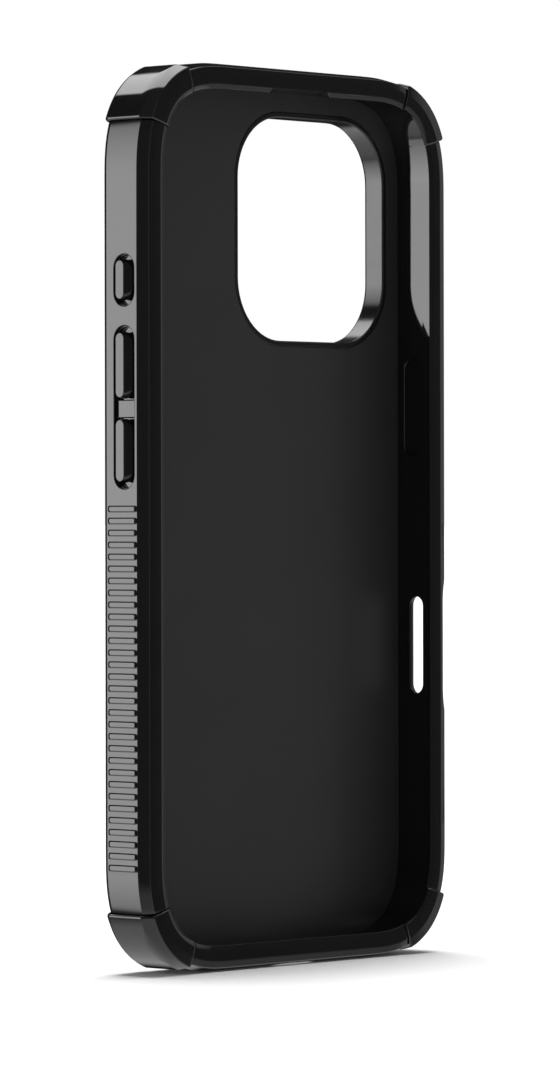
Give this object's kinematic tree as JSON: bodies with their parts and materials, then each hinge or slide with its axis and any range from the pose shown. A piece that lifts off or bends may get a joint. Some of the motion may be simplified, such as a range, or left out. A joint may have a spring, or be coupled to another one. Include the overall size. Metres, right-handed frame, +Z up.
{
  "type": "phone case",
  "caption": "Rugged bumper case for a slab phone: soft ribbed frame with thick corner cushions, hard back plate with a raised camera surround, and sprung side buttons.",
  "frame": {"origin": "middle of the bottom of the bounding box: centred in width and depth, at the face that the case stands on", "axes": "+Z up the length of the case, +X to the right seen from the open front, -Y towards the open front, so the camera opening is at +X +Z"},
  "size_m": [0.0812, 0.0138, 0.1574],
  "materials": {
    "frame_soft_plastic": "glossy black moulded soft plastic",
    "cushion_soft_plastic": "glossy black moulded soft plastic",
    "plate_hard_plastic": "satin black hard plastic",
    "surround_plastic": "semi-gloss black hard plastic",
    "button_plastic": "glossy black plastic"
  },
  "bodies": {
    "case": {"bumper_frame": "frame_soft_plastic", "corner_cushion_top_left": "cushion_soft_plastic", "corner_cushion_top_right": "cushion_soft_plastic", "corner_cushion_bottom_left": "cushion_soft_plastic", "corner_cushion_bottom_right": "cushion_soft_plastic", "back_plate": "plate_hard_plastic", "camera_surround": "surround_plastic"},
    "action_cap": {"action_button": "button_plastic"},
    "volume_up_cap": {"volume_up_button": "button_plastic"},
    "volume_down_cap": {"volume_down_button": "button_plastic"},
    "side_cap": {"side_button": "button_plastic"}
  },
  "joints": [
    {"name": "action_press", "type": "slide", "parent": "case", "child": "action_cap", "axis": [1, 0, 0], "range_m": [0, 0.0005], "stiffness_N_per_m": 2000},
    {"name": "volume_up_press", "type": "slide", "parent": "case", "child": "volume_up_cap", "axis": [1, 0, 0], "range_m": [0, 0.0005], "stiffness_N_per_m": 2000},
    {"name": "volume_down_press", "type": "slide", "parent": "case", "child": "volume_down_cap", "axis": [1, 0, 0], "range_m": [0, 0.0005], "stiffness_N_per_m": 2000},
    {"name": "side_press", "type": "slide", "parent": "case", "child": "side_cap", "axis": [-1, 0, 0], "range_m": [0, 0.0005], "stiffness_N_per_m": 2000}
  ]
}
